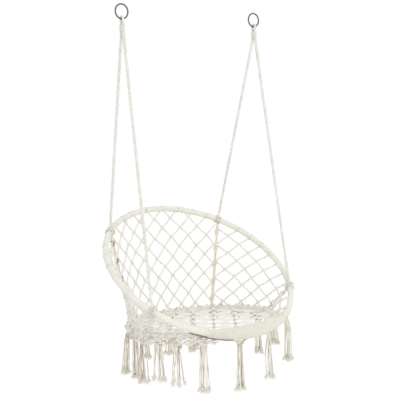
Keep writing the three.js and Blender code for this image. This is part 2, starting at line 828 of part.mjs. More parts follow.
// One panel of the net, between two sinnets or from a sinnet to the front
function addPanel(name, cells, firstTie, lastTie) {
  const halfColumn = fullTurn / cells.columns / 2;
  const halfRow = cells.cellHeight / 2;
  const turnOn = lastTie && firstTie && lastTie.angle < firstTie.angle ? fullTurn : 0;
  const angleAt = (column) => cells.middle + (column + 1) * halfColumn;
  const heightAt = (row) => netAboveSeat - row * halfRow;
  const endsAt = (angle, above) => [
    firstTie ? sinnetAngle(firstTie, angle, above) : 0,
    lastTie ? sinnetAngle(lastTie, angle, above) + turnOn : 0,
  ];
  // A net that is taut between two sinnets is drawn in there, most at its middle
  const place = (column, row) => {
    const angle = angleAt(column);
    const above = heightAt(row);
    const [first, last] = endsAt(angle, above);
    const around = THREE.MathUtils.clamp((angle - first) / (last - first), 0, 1);
    const share = THREE.MathUtils.clamp(above / netReach(angle), 0, 1);
    const drawn = cells.waist * Math.sin(Math.PI * around) * Math.sin(Math.PI * share);
    const inward = new THREE.Vector3(-Math.sin(angle * degree), Math.cos(angle * degree), 0);
    return netPoint(angle, above).addScaledVector(inward, drawn);
  };
  addNet(name, {
    width: netCordWidth,
    thickness: netCordThickness,
    firstColumn: -cells.columns * 2,
    lastColumn: cells.columns * 2,
    firstRow: -Math.ceil(hoopDiameter / halfRow),
    lastRow: 0,
    place,
    holds: (column, row) => {
      const angle = angleAt(column);
      const above = heightAt(row);
      const [first, last] = endsAt(angle, above);
      return above < netReach(angle) && angle > first && angle < last;
    },
  });
}

// The seat's web sags a little inside the seat hoop. Its columns of knots are turned to the
// hoop, and the middle of the hoop lies between two of them.
function addWeb() {
  const halfWidth = webCellWidth / 2;
  const halfDepth = webCellDepth / 2;
  const place = (column, row) => {
    const point = new THREE.Vector3((column + 1 / 2) * halfWidth, row * halfDepth, 0);
    const share = point.length() / seatRadius;
    point.z = -webSag * (1 - share * share);
    return point.applyAxisAngle(up, webTurn * degree).applyMatrix4(seat.group.matrix);
  };
  const columns = Math.ceil(seatRadius / halfWidth);
  const rows = Math.ceil(seatRadius / halfDepth);
  addNet('seat_web', {
    width: webCordWidth,
    thickness: webCordThickness,
    firstColumn: -columns,
    lastColumn: columns,
    firstRow: -rows,
    lastRow: rows,
    place,
    holds: (column, row) => (
      Math.hypot((column + 1 / 2) * halfWidth, row * halfDepth) < seatRadius
    ),
  });
}

// A tassel hangs straight down. Its top follows the slope of the hoop above it.
function addTassel(name, frame, angle, length) {
  const tangent = frame.tangent(angle);
  const slope = tangent.z / Math.hypot(tangent.x, tangent.y);
  const top = frame.at(angle).addScaledVector(up, -wrappingRadius * Math.hypot(1, slope));
  const along = new THREE.Vector3(tangent.x, tangent.y, 0).normalize();
  const across = up.clone().negate().cross(along);
  const rings = tasselLevelShares.map((level) => {
    const middle = top.clone().addScaledVector(up, -seatingGap - level.down * length);
    return Array.from({ length: tasselPoints }, (_, point) => {
      const share = (tasselWidth / 2) * (point % 2 === 0 ? 1 : level.groove);
      const around = (point / tasselPoints) * fullTurn * degree;
      const reach = Math.cos(around) * share * level.along;
      return middle.clone()
        .addScaledVector(along, reach)
        .addScaledVector(across, Math.sin(around) * share * level.across)
        .addScaledVector(up, slope * reach * (1 - level.down));
    });
  });
  addPart(chair, name, loft(rings), cottonCord);
}

[{ side: -1, name: 'left' }, { side: 1, name: 'right' }].forEach(({ side, name }) => {
  addRing(side, name);
  addEye(side, name);
  addWhipping(side, name);
});

addHoop(hoop, 'hoop');
addHoop(seat, 'seat');

ties.forEach((tie) => {
  const winding = addHitch(hoop, `${tie.name}_hitch`, tie.angle, hitch);
  const seatWinding = addHitch(seat, `${tie.name}_seat_hitch`, tie.seatAngle, seatHitch);
  addRope(tie, winding);
  addSinnet(tie, winding, seatWinding);
});

lashings.forEach((lashing, index) => addLashing(lashing, `front_lashing_${index + 1}`));

const [frontLeft, backLeft, frontRight, backRight] = ties;
addPanel('back_net', backNet, backRight, backLeft);
addPanel('left_net', sideNet(backLeft.angle, sideNetWaist), backLeft, frontLeft);
addPanel('right_net', sideNet(backRight.angle, sideNetWaist), frontRight, backRight);
addPanel('front_left_net', sideNet(frontLeft.angle, 0), frontLeft, undefined);
addPanel('front_right_net', sideNet(frontRight.angle, 0), undefined, frontRight);
addWeb();

tasselPlaces.forEach(({ under, angle, lengthShare }, index) => {
  const name = `tassel_${String(index + 1).padStart(2, '0')}`;
  addTassel(name, under === 'hoop' ? hoop : seat, angle, tasselLength * lengthShare);
});

export default root;
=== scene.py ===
import math
import random

import bpy
import numpy as np
from mathutils import Matrix


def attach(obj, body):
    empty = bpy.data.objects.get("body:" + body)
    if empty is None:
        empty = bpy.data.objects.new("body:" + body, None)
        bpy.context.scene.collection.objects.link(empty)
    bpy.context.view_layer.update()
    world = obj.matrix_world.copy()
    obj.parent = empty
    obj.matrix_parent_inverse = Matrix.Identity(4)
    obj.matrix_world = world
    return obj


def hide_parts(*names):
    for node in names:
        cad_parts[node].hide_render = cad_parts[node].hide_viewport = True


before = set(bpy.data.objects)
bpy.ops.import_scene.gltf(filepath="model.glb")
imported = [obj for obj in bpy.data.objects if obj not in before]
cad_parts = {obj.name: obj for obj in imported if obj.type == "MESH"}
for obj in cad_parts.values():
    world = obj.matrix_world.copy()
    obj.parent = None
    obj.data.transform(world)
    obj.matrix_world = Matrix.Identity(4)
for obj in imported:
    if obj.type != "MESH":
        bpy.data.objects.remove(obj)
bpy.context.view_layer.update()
bpy.ops.object.select_all(action="DESELECT")
random.seed(11)
print("frame loaded:", len(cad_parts), "nodes")

# The two hoops, as the frame holds them: metres and degrees, angle 0 at the front
wrapRadius = 0.0125
hoop = {"radius": 0.3875, "tilt": 33.6, "middle": np.array((0.0, -0.0026, -1.016))}
seat = {"radius": 0.2935, "tilt": -3.5, "spacing": 0.026, "slope": 34.0}


def rotated(y, z, degrees):
    turn = math.radians(degrees)
    return y * math.cos(turn) - z * math.sin(turn), y * math.sin(turn) + z * math.cos(turn)


def onRing(ring, angle, outside=0.0, above=0.0):
    turn = math.radians(angle)
    reach = ring["radius"] + outside
    y, z = rotated(-reach * math.cos(turn), above, ring["tilt"])
    return ring["middle"] + np.array((reach * math.sin(turn), y, z))


def angleOn(ring, point):
    x, y, z = point - ring["middle"]
    flat, _ = rotated(y, z, -ring["tilt"])
    return math.degrees(math.atan2(x, -flat))


def unit(vector):
    return vector / np.linalg.norm(vector)


def tangentOn(ring, angle):
    return unit(onRing(ring, angle + 1) - onRing(ring, angle - 1))


def shaken(reach):
    return np.array([random.uniform(-1, 1) for _ in range(3)]) * reach


def furthest(start, end, inside):
    # The last place from start towards end that is still inside, found by halving
    start, end = np.array(start), np.array(end)
    low, high = 0.0, 1.0
    for _ in range(20):
        share = (low + high) / 2
        low, high = (share, high) if inside(*(start + (end - start) * share)) else (low, share)
    return start + (end - start) * low


def turnTo(item, place, across, back):
    # Its own X along across, its own Z along back
    turned = Matrix([[*row] for row in np.stack((across, np.cross(back, across), back), axis=1)])
    item.matrix_world = Matrix.Translation(tuple(place)) @ turned.to_4x4()


down = np.array((0.0, 0.0, -1.0))
nearby = 0.01  # metres to each side of a point, where its direction is taken
towardsSeat = np.array((0.0, *rotated(seat["spacing"], 0.0, seat["slope"])))
seatReach = np.array((0.0, *rotated(seat["radius"], 0.0, seat["tilt"])))
seat["middle"] = onRing(hoop, 0) + towardsSeat + seatReach

ties = [
    {"name": "front_left", "side": -1, "front": True, "angle": -60.7, "seatAngle": -80.0},
    {"name": "back_left", "side": -1, "front": False, "angle": -134.8, "seatAngle": -135.7},
    {"name": "front_right", "side": 1, "front": True, "angle": 60.7, "seatAngle": 80.0},
    {"name": "back_right", "side": 1, "front": False, "angle": 134.8, "seatAngle": 135.7},
]


# Camera, at the photograph's viewing angle
camera = {
    "azimuth": -36.66, "elevation": 4.785, "distance": 3.39, "aside": 0.0092, "up": 0.2678,
    "roll": -1.856, "lens": 76.1, "sensor": 36.0,
}


def addCamera():
    azimuth, elevation = math.radians(camera["azimuth"]), math.radians(camera["elevation"])
    back = np.array((
        math.sin(azimuth) * math.cos(elevation),
        -math.cos(azimuth) * math.cos(elevation),
        math.sin(elevation),
    ))
    right = np.array((math.cos(azimuth), math.sin(azimuth), 0.0))
    up = np.cross(back, right)
    place = hoop["middle"] + right * camera["aside"] + up * camera["up"] + back * camera["distance"]
    roll = math.radians(camera["roll"])
    across = right * math.cos(roll) + up * math.sin(roll)
    data = bpy.data.cameras.new("camera")
    data.lens, data.sensor_width = camera["lens"], camera["sensor"]
    view = bpy.data.objects.new("camera", data)
    bpy.context.scene.collection.objects.link(view)
    turnTo(view, place, across, back)
    bpy.context.scene.camera = view


addCamera()
print("camera placed")


# Node groups and materials
def newGroup(name, inputs, outputs):
    group = bpy.data.node_groups.new(name, "ShaderNodeTree")
    for label, kind, value in inputs:
        socket = group.interface.new_socket(name=label, in_out="INPUT", socket_type=kind)
        socket.default_value = value
    for label, kind in outputs:
        group.interface.new_socket(name=label, in_out="OUTPUT", socket_type=kind)
    return group, group.nodes.new("NodeGroupInput"), group.nodes.new("NodeGroupOutput")


def feed(tree, socket, value):
    if isinstance(value, bpy.types.NodeSocket):
        tree.links.new(value, socket)
    elif value is not None:
        socket.default_value = value


def addMath(tree, operation, first, second=None, clamp=False):
    node = tree.nodes.new("ShaderNodeMath")
    node.operation, node.use_clamp = operation, clamp
    for socket, value in zip(node.inputs, (first, second)):
        feed(tree, socket, value)
    return node.outputs[0]


def addMix(tree, fraction, first, second):
    node = tree.nodes.new("ShaderNodeMix")
    node.data_type = "RGBA"
    # Such a node mixes its inputs 6 and 7 into its output 2
    for index, value in ((0, fraction), (6, first), (7, second)):
        feed(tree, node.inputs[index], value)
    return node.outputs[2]


def addNoise(tree, vector, scale, detail=3.0, roughness=0.6):
    node = tree.nodes.new("ShaderNodeTexNoise")
    values = {"Detail": detail, "Roughness": roughness, "Vector": vector, "Scale": scale}
    for label, value in values.items():
        feed(tree, node.inputs[label], value)
    return node.outputs["Fac"]


spun = {
    "fibreAlong": 260.0, "fibreAround": 9.0, "fibreDetail": 4.0, "fibreRoughness": 0.7, "fibreHeight": 0.8,
    "patchScale": 34.0, "patchFloor": 0.42, "patchShade": 1.5, "paintedCreaseShade": 0.55, "rough": 0.78,
    "roughSpread": 0.2,
}


def makeYarnGroup():
    # Spun cotton: plies that wind round the cord, loose fibres, uneven bleaching, and painted shade in the
    # creases between the plies
    group, given, out = newGroup(
        "spunYarn",
        [
            ("Colour", "NodeSocketColor", (0.8, 0.8, 0.8, 1)),
            ("Shade", "NodeSocketColor", (0.6, 0.6, 0.6, 1)),
            ("Plies", "NodeSocketFloat", 3.0),
            ("Turns", "NodeSocketFloat", 120.0),
            ("Fuzz", "NodeSocketFloat", 1.0),
        ],
        [("Color", "NodeSocketColor"), ("Roughness", "NodeSocketFloat"), ("Height", "NodeSocketFloat")],
    )
    uv = group.nodes.new("ShaderNodeTexCoord")
    split = group.nodes.new("ShaderNodeSeparateXYZ")
    group.links.new(uv.outputs["UV"], split.inputs[0])
    wound = addMath(
        group, "ADD",
        addMath(group, "MULTIPLY", split.outputs[1], given.outputs["Plies"]),
        addMath(group, "MULTIPLY", split.outputs[0], given.outputs["Turns"]),
    )
    ridge = addMath(group, "ABSOLUTE", addMath(group, "SINE", addMath(group, "MULTIPLY", wound, math.pi)))
    stretch = group.nodes.new("ShaderNodeCombineXYZ")
    group.links.new(addMath(group, "MULTIPLY", split.outputs[0], spun["fibreAlong"]), stretch.inputs[0])
    group.links.new(addMath(group, "MULTIPLY", wound, spun["fibreAround"]), stretch.inputs[1])
    fibre = addNoise(group, stretch.outputs[0], 1.0, spun["fibreDetail"], spun["fibreRoughness"])
    patches = addNoise(group, uv.outputs["Object"], spun["patchScale"])
    # The creases between the plies are mixed towards the Shade colour as painted shade; the patches of
    # uneven bleaching use the same colour
    creaseShadeMask = addMath(group, "SUBTRACT", 1.0, ridge, clamp=True)
    uneven = addMath(group, "SUBTRACT", patches, spun["patchFloor"])
    paintedShadeAndTone = addMath(
        group, "ADD",
        addMath(group, "MULTIPLY", creaseShadeMask, spun["paintedCreaseShade"]),
        addMath(group, "MULTIPLY", uneven, spun["patchShade"]),
        clamp=True,
    )
    group.links.new(
        addMix(group, paintedShadeAndTone, given.outputs["Colour"], given.outputs["Shade"]), out.inputs["Color"]
    )
    rough = addMath(group, "ADD", spun["rough"], addMath(group, "MULTIPLY", fibre, spun["roughSpread"]))
    group.links.new(rough, out.inputs["Roughness"])
    fuzz = addMath(group, "MULTIPLY", fibre, given.outputs["Fuzz"])
    fuzz = addMath(group, "MULTIPLY", fuzz, spun["fibreHeight"])
    group.links.new(addMath(group, "ADD", ridge, fuzz), out.inputs["Height"])
    return group


def newMaterial(name):
    material = bpy.data.materials.new(name)
    material.use_nodes = True
    tree = material.node_tree
    return material, tree, tree.nodes["Principled BSDF"]


def makeCoated(name, group, values, depth, strength):
    # A material whose colour, roughness and bump come from a node group
    material, tree, shader = newMaterial(name)
    coat = tree.nodes.new("ShaderNodeGroup")
    coat.node_tree = group
    for label, value in values.items():
        coat.inputs[label].default_value = value
    bump = tree.nodes.new("ShaderNodeBump")
    bump.inputs["Distance"].default_value = depth
    bump.inputs["Strength"].default_value = strength
    tree.links.new(coat.outputs["Color"], shader.inputs["Base Color"])
    tree.links.new(coat.outputs["Roughness"], shader.inputs["Roughness"])
    tree.links.new(coat.outputs["Height"], bump.inputs["Height"])
    tree.links.new(bump.outputs["Normal"], shader.inputs["Normal"])
    return material, shader


yarnGroup = makeYarnGroup()
cottonFinish = {"bump": 0.8, "specular": 0.25, "sheen": 0.25, "sheenRoughness": 0.6}


def makeCotton(name, colour, shade, plies, turns, fuzz, depth):
    values = {"Colour": (*colour, 1), "Shade": (*shade, 1), "Plies": plies, "Turns": turns, "Fuzz": fuzz}
    material, shader = makeCoated(name, yarnGroup, values, depth, cottonFinish["bump"])
    shader.inputs["Specular IOR Level"].default_value = cottonFinish["specular"]
    shader.inputs["Sheen Weight"].default_value = cottonFinish["sheen"]
    shader.inputs["Sheen Roughness"].default_value = cottonFinish["sheenRoughness"]
    return material


# Each with its colour, the darker colour painted into its creases as shade and into its patches of
# bleaching, its plies round the cord and in a metre along it, its fuzz and the depth of its bump in metres
ropeCotton = makeCotton("ropeCotton", (0.87, 0.865, 0.81), (0.63, 0.60, 0.53), 2, 90, 1.0, 0.0007)
wrapCotton = makeCotton("wrapCotton", (0.835, 0.83, 0.745), (0.74, 0.725, 0.63), 2, 160, 1.0, 0.0004)
netCotton = makeCotton("netCotton", (0.92, 0.91, 0.855), (0.76, 0.73, 0.66), 2, 200, 1.0, 0.0004)
webCotton = makeCotton("webCotton", (0.97, 0.96, 0.91), (0.87, 0.845, 0.78), 2, 200, 1.0, 0.0004)
hitchCotton = makeCotton("hitchCotton", (0.88, 0.84, 0.74), (0.72, 0.65, 0.54), 2, 200, 1.0, 0.0004)
tasselCotton = makeCotton("tasselCotton", (0.95, 0.94, 0.87), (0.88, 0.84, 0.75), 3, 170, 1.2, 0.0005)
frayCotton = makeCotton("frayCotton", (0.95, 0.915, 0.83), (0.86, 0.80, 0.70), 1, 40, 0.6, 0.0002)
tanCotton = makeCotton("tanCotton", (0.79, 0.71, 0.58), (0.60, 0.51, 0.39), 3, 170, 1.2, 0.0005)
# Dark brown, for the back left sinnet's knots and for the strand in each tassel that is painted shade
brownCotton = makeCotton("brownCotton", (0.44, 0.36, 0.27), (0.30, 0.23, 0.16), 3, 170, 1.2, 0.0005)
# Near-black brown for the cord that is painted shadow under the upper hoop
shadowLineCotton = makeCotton("shadowLineCotton", (0.32, 0.25, 0.18), (0.20, 0.15, 0.10), 2, 90, 1.0, 0.0005)


wear = {
    "patchDetail": 4.0, "patchFloor": 0.35, "patchSpread": 1.8, "grain": 14.0, "grainDetail": 2.0,
    "rough": 0.2, "roughSpread": 0.25,
}


def makeMetalGroup():
    # Worn steel: dull patches over a fine grain
    group, given, out = newGroup(
        "wornSteel",
        [
            ("Colour", "NodeSocketColor", (0.5, 0.5, 0.5, 1)),
            ("Dull", "NodeSocketColor", (0.3, 0.3, 0.3, 1)),
            ("Scale", "NodeSocketFloat", 90.0),
        ],
        [("Color", "NodeSocketColor"), ("Roughness", "NodeSocketFloat"), ("Height", "NodeSocketFloat")],
    )
    place = group.nodes.new("ShaderNodeTexCoord")
    patches = addNoise(group, place.outputs["Object"], given.outputs["Scale"], wear["patchDetail"])
    grainScale = addMath(group, "MULTIPLY", given.outputs["Scale"], wear["grain"])
    grain = addNoise(group, place.outputs["Object"], grainScale, wear["grainDetail"])
    worn = addMath(group, "SUBTRACT", patches, wear["patchFloor"])
    worn = addMath(group, "MULTIPLY", worn, wear["patchSpread"], clamp=True)
    group.links.new(
        addMix(group, worn, given.outputs["Colour"], given.outputs["Dull"]), out.inputs["Color"]
    )
    rough = addMath(group, "ADD", wear["rough"], addMath(group, "MULTIPLY", patches, wear["roughSpread"]))
    group.links.new(rough, out.inputs["Roughness"])
    group.links.new(grain, out.inputs["Height"])
    return group


metalGroup = makeMetalGroup()
steelFinish = {"bump": 0.4, "depth": 0.0001}


def makeSteel(name, colour, dull, metallic, scale):
    values = {"Colour": (*colour, 1), "Dull": (*dull, 1), "Scale": scale}
    material, shader = makeCoated(name, metalGroup, values, steelFinish["depth"], steelFinish["bump"])
    shader.inputs["Metallic"].default_value = metallic
    return material


ringSteel = makeSteel("ringSteel", (0.16, 0.165, 0.17), (0.10, 0.10, 0.105), 1.0, 90)
tubePaint = makeSteel("tubePaint", (0.30, 0.30, 0.31), (0.22, 0.22, 0.22), 0.0, 40)
print("materials made")


# Lines that cords follow
def distances(points):
    steps = np.linalg.norm(np.diff(points, axis=0), axis=1)
    return np.concatenate(([0.0], np.cumsum(steps)))


def spaced(points, step):
    points = np.asarray(points, float)
    along = distances(points)
    at = np.linspace(0, along[-1], max(2, round(along[-1] / step) + 1))
    return np.stack([np.interp(at, along, points[:, axis]) for axis in range(3)], axis=1)


def rounded(points, rounds=2):
    # Each round cuts every corner a quarter of the way to its neighbours
    points = np.asarray(points, float)
    for _ in range(rounds):
        near = points[:-1] * 0.75 + points[1:] * 0.25
        far = points[:-1] * 0.25 + points[1:] * 0.75
        between = np.stack((near, far), axis=1).reshape(-1, 3)
        points = np.concatenate((points[:1], between, points[-1:]))
    return points


def carried(points):
    # Two directions square to the line at each point, carried along it without twist
    ahead = np.gradient(points, axis=0)
    ahead /= np.linalg.norm(ahead, axis=1)[:, None]
    steep = abs(ahead[0][2]) >= 0.9
    side = np.cross(ahead[0], (1.0, 0.0, 0.0) if steep else (0.0, 0.0, 1.0))
    sides = []
    for direction in ahead:
        side = unit(side - direction * side.dot(direction))
        sides.append(side)
    sides = np.array(sides)
    return sides, np.cross(ahead, sides)


def laid(points, count, offset, pitch, phase=0.0):
    # Strands wound round the line, as a rope is laid
    sides, ups = carried(points)
    along = distances(points)
    lines = []
    for strand in range(count):
        turn = math.tau * (along / pitch + strand / count + phase)
        lines.append(points + offset * (np.cos(turn)[:, None] * sides + np.sin(turn)[:, None] * ups))
    return lines


def addLaid(lines, radius, points, count, offset, pitch, phase=0.0):
    # The same strands, added to a list of cords
    lines.extend((line, radius) for line in laid(points, count, offset, pitch, phase))


def ringCoil(ring, angle, radius, turns, pitch, steps, start=0.0):
    # A cord wound round one hoop at that angle
    points = []
    for step in range(round(turns * steps) + 1):
        turn = step / steps
        shift = math.degrees((turn - turns / 2) * pitch / ring["radius"])
        around = math.tau * (turn + start)
        points.append(onRing(ring, angle + shift, radius * math.cos(around), radius * math.sin(around)))
    return np.array(points)


def straightCoil(middle, axis, side, radius, turns, length, steps):
    # A cord wound round a straight line through middle
    side = unit(side - axis * side.dot(axis))
    up = np.cross(axis, side)
    points = []
    for step in range(round(turns * steps) + 1):
        share = step / (turns * steps)
        around = math.tau * turns * share
        points.append(
            middle + axis * (share - 0.5) * length
            + radius * (side * math.cos(around) + up * math.sin(around))
        )
    return np.array(points)


def makeCords(name, lines, material, sides=8):
    # Each line is its points and its radius, which can differ from point to point
    data = bpy.data.curves.new(name, "CURVE")
    data.dimensions = "3D"
    data.bevel_depth = 1.0  # each point's radius is then its real one
    data.bevel_resolution = sides // 2 - 2  # a bevel has twice this and four more sides
    data.use_fill_caps = True
    lengths, faces = [], []
    for points, radius in lines:
        spline = data.splines.new("POLY")
        spline.points.add(len(points) - 1)
        places = np.ones((len(points), 4))
        places[:, :3] = points
        spline.points.foreach_set("co", places.ravel())
        spline.points.foreach_set("radius", np.array(np.broadcast_to(radius, len(points)), np.float32))
        lengths.append(distances(np.asarray(points))[-1])
        faces.append((len(points) - 1) * sides)
    cords = bpy.data.objects.new(name, data)
    bpy.context.scene.collection.objects.link(cords)
    bpy.ops.object.select_all(action="DESELECT")
    cords.select_set(True)
    bpy.context.view_layer.objects.active = cords
    bpy.ops.object.convert(target="MESH")
    bpy.ops.object.shade_smooth()
    scaleUv(cords.data, lengths, faces)
    cords.data.materials.append(material)
    cords.select_set(False)
    return cords


mapShift = 0.37  # metres of the map between one cord's start and the next one's


def scaleUv(mesh, lengths, faces):
    # Along each cord the map runs in metres, and each cord has its own stretch of it
    corners = np.zeros(len(mesh.polygons), int)
    mesh.polygons.foreach_get("loop_total", corners)
    starts = np.zeros(len(mesh.polygons), int)
    mesh.polygons.foreach_get("loop_start", starts)
    uv = np.zeros(len(mesh.loops) * 2, np.float32)
    mesh.uv_layers[0].data.foreach_get("uv", uv)
    uv = uv.reshape(-1, 2)
    starts = starts[corners == 4]
    first = 0
    for index, (length, count) in enumerate(zip(lengths, faces)):
        block = (starts[first:first + count, None] + np.arange(4)).ravel()
        uv[block, 0] = uv[block, 0] * length + index * mapShift
        first += count
    mesh.uv_layers[0].data.foreach_set("uv", uv.ravel())


# Steel rings
steelRing = {
    "radius": 0.027, "wire": 0.003, "spacing": 0.638, "middle": -0.024, "segments": 96, "wireSides": 20,
    "weldAt": math.pi * 0.3, "weldWidth": 0.035, "weldSwell": 1.16,
}
sideNames = {-1: "left", 1: "right"}


def makeRing(side):
    bpy.ops.mesh.primitive_torus_add(
        major_radius=steelRing["radius"], minor_radius=steelRing["wire"],
        major_segments=steelRing["segments"], minor_segments=steelRing["wireSides"],
        location=(side * steelRing["spacing"] / 2, 0, steelRing["middle"]), rotation=(math.pi / 2, 0, 0),
    )
    wire = bpy.context.object
    wire.name = f"{sideNames[side]}_ring_wire"
    for vertex in wire.data.vertices:
        turn = math.atan2(vertex.co.y, vertex.co.x)
        middle = np.array((math.cos(turn), math.sin(turn), 0.0)) * steelRing["radius"]
        # A low bead where the wire is welded
        weld = math.exp(-((turn - steelRing["weldAt"]) / steelRing["weldWidth"]) ** 2)
        vertex.co = middle + (np.array(vertex.co) - middle) * (1 + (steelRing["weldSwell"] - 1) * weld)
    bpy.ops.object.transform_apply(location=True, rotation=True, scale=True)
    bpy.ops.object.shade_smooth()
    wire.data.materials.append(ringSteel)
    wire.select_set(False)
    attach(wire, "rings")
    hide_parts(f"{sideNames[side]}_ring")


for side in (-1, 1):
    makeRing(side)
for tube in ("hoop_tube", "seat_tube"):
    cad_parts[tube].data.materials.clear()
    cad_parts[tube].data.materials.append(tubePaint)
print("rings made")


# Ropes, each straight from its eye to its hitch on the upper hoop
rope = {
    "diameter": 0.012, "strands": 3, "pitch": 0.062, "step": 0.0044, "top": -0.0973, "apart": 0.0064,
    "footGap": 0.012, "strandShare": 0.27,
}


def makeRope(tie):
    apart = -rope["apart"] if tie["front"] else rope["apart"]
    top = np.array((tie["side"] * steelRing["spacing"] / 2, apart, rope["top"]))
    foot = onRing(hoop, tie["angle"])
    foot = foot + unit(top - foot) * rope["footGap"]
    path = spaced((top, foot), rope["step"])
    strand = rope["diameter"] * rope["strandShare"]
    lines = []
    addLaid(lines, strand, path, rope["strands"], rope["diameter"] / 2 - strand, rope["pitch"])
    made = makeCords(f"{tie['name']}_laid_rope", lines, ropeCotton)
    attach(made, "chair")
    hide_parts(f"{tie['name']}_rope")


for tie in ties:
    makeRope(tie)


# Rope eyes round the wires of the rings, and their whippings
eye = {
    "wireZ": -0.051, "bend": 0.0085, "arc": 102.5, "leg": 0.0054, "neckZ": -0.073, "footZ": -0.0985,
    "strands": 3, "strand": 0.0024, "offset": 0.0025, "pitch": 0.034, "arcSteps": 24, "step": 0.0022,
}
whipping = {
    "cord": 0.0014, "turns": 9, "topZ": -0.0728, "footZ": -0.0978, "halfX": 0.0075, "halfY": 0.0132,
    "steps": 24,
}


def makeEye(side):
    x = side * steelRing["spacing"] / 2
    points = [(x, -eye["leg"], eye["footZ"]), (x, -eye["leg"], eye["neckZ"])]
    for degrees in np.linspace(-eye["arc"], eye["arc"], eye["arcSteps"]):
        turn = math.radians(degrees)
        points.append((x, math.sin(turn) * eye["bend"], eye["wireZ"] + math.cos(turn) * eye["bend"]))
    points += [(x, eye["leg"], eye["neckZ"]), (x, eye["leg"], eye["footZ"])]
    path, lines = spaced(rounded(points), eye["step"]), []
    addLaid(lines, eye["strand"], path, eye["strands"], eye["offset"], eye["pitch"])
    made = makeCords(f"{sideNames[side]}_laid_eye", lines, ropeCotton)
    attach(made, "chair")
    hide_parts(f"{sideNames[side]}_rope_eye")


def makeWhipping(side):
    steps, points = whipping["steps"], []
    for step in range(whipping["turns"] * steps + 1):
        share = step / (whipping["turns"] * steps)
        turn = math.tau * step / steps
        points.append((
            side * steelRing["spacing"] / 2 + whipping["halfX"] * math.cos(turn),
            whipping["halfY"] * math.sin(turn),
            whipping["footZ"] + (whipping["topZ"] - whipping["footZ"]) * share,
        ))
    made = makeCords(f"{sideNames[side]}_whipping", [(np.array(points), whipping["cord"])], wrapCotton)
    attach(made, "chair")
    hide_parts(f"{sideNames[side]}_eye_whipping")


for side in (-1, 1):
    makeEye(side)
    makeWhipping(side)
print("eyes made")


# Cotton cord wound closely round each hoop
wrap = {"pitch": 0.0046, "samples": 6, "around": 14, "rise": 0.0009}


def makeWrap(ring, name, nodes):
    turns = round(math.tau * ring["radius"] / wrap["pitch"])
    bpy.ops.mesh.primitive_torus_add(
        major_radius=ring["radius"], minor_radius=wrapRadius,
        major_segments=turns * wrap["samples"], minor_segments=wrap["around"],
    )
    made = bpy.context.object
    made.name = name
    places = np.zeros(len(made.data.vertices) * 3)
    made.data.vertices.foreach_get("co", places)
    places = places.reshape(-1, 3)
    turn = np.arctan2(places[:, 1], places[:, 0])
    middle = np.stack((np.cos(turn), np.sin(turn), 0 * turn), axis=1) * ring["radius"]
    outward = places - middle
    around = np.arctan2(outward[:, 2], np.hypot(places[:, 0], places[:, 1]) - ring["radius"])
    ridge = np.abs(np.sin((turn * turns + around) / 2))
    places = middle + outward * (1 - (wrap["rise"] * (1 - ridge) / wrapRadius))[:, None]
    made.data.vertices.foreach_set("co", places.ravel())
    uv = np.zeros(len(made.data.loops) * 2, np.float32)
    made.data.uv_layers[0].data.foreach_get("uv", uv)
    uv = uv.reshape(-1, 2) * (math.tau * ring["radius"], 1)
    made.data.uv_layers[0].data.foreach_set("uv", uv.ravel())
    made.location = ring["middle"]
    made.rotation_euler = (math.radians(ring["tilt"]), 0, 0)
    bpy.ops.object.transform_apply(location=True, rotation=True, scale=True)
    bpy.ops.object.shade_smooth()
    made.data.materials.append(wrapCotton)
    made.select_set(False)
    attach(made, "chair")
    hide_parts(*nodes)


makeWrap(hoop, "hoop_wound_cord", ["hoop_wrapping"])
makeWrap(seat, "seat_wound_cord", ["seat_wrapping"])
print("hoops wrapped")


# Hitches that tie the ropes and sinnets to the hoops
hitch = {"cord": 0.0055, "turns": 4, "pitch": 0.0067, "ring": hoop, "at": "angle", "suffix": "hitch"}
seatHitch = {
    "cord": 0.0045, "turns": 3, "pitch": 0.0057, "ring": seat, "at": "seatAngle", "suffix": "seat_hitch",
}
hitchLay = {"steps": 24, "step": 0.0028, "crossTurns": 0.8, "crossLift": 0.8, "strands": 3, "pitch": 4}


def makeHitch(tie, size):
    radius = wrapRadius + size["cord"] / 2
    angle = tie[size["at"]]
    coil = ringCoil(size["ring"], angle, radius, size["turns"], size["pitch"], hitchLay["steps"])
    overDegrees = math.degrees(size["turns"] * size["pitch"] / size["ring"]["radius"])
    crossing = []
    for step in range(hitchLay["steps"] + 1):  # the end is led back over its turns and tucked under
        share = step / hitchLay["steps"]
        around = math.tau * share * hitchLay["crossTurns"]
        lift = radius + size["cord"] * hitchLay["crossLift"] * math.sin(math.pi * share)
        at = angle + overDegrees * (0.5 - share)
        crossing.append(onRing(size["ring"], at, lift * math.cos(around), lift * math.sin(around)))
    strand = size["cord"] * rope["strandShare"]
    offset, pitch = size["cord"] / 2 - strand, size["cord"] * hitchLay["pitch"]
    lines = []
    for path in (coil, np.array(crossing)):
        addLaid(lines, strand, spaced(path, hitchLay["step"]), hitchLay["strands"], offset, pitch)
    cotton = wrapCotton if tie["front"] else hitchCotton
    made = makeCords(f"{tie['name']}_{size['suffix']}_cord", lines, cotton, sides=6)
    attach(made, "chair")
    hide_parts(f"{tie['name']}_{size['suffix']}")


for tie in ties:
    makeHitch(tie, hitch)
    makeHitch(tie, seatHitch)
print("hitches made")


# Sinnets: four core cords gathered by a wound knot every few centimetres
sinnet = {
    "cores": 4, "core": 0.0027, "offset": 0.0038, "pitch": 0.32, "step": 0.006, "endGap": 0.013,
    "spacing": 0.08, "windCord": 0.0024, "crossCord": 0.00216,
    "wind": {"radius": 0.0068, "turns": 4, "length": 0.021, "steps": 14},
    "cross": {"radius": 0.009, "turns": 0.6, "length": 0.026, "steps": 24},
}


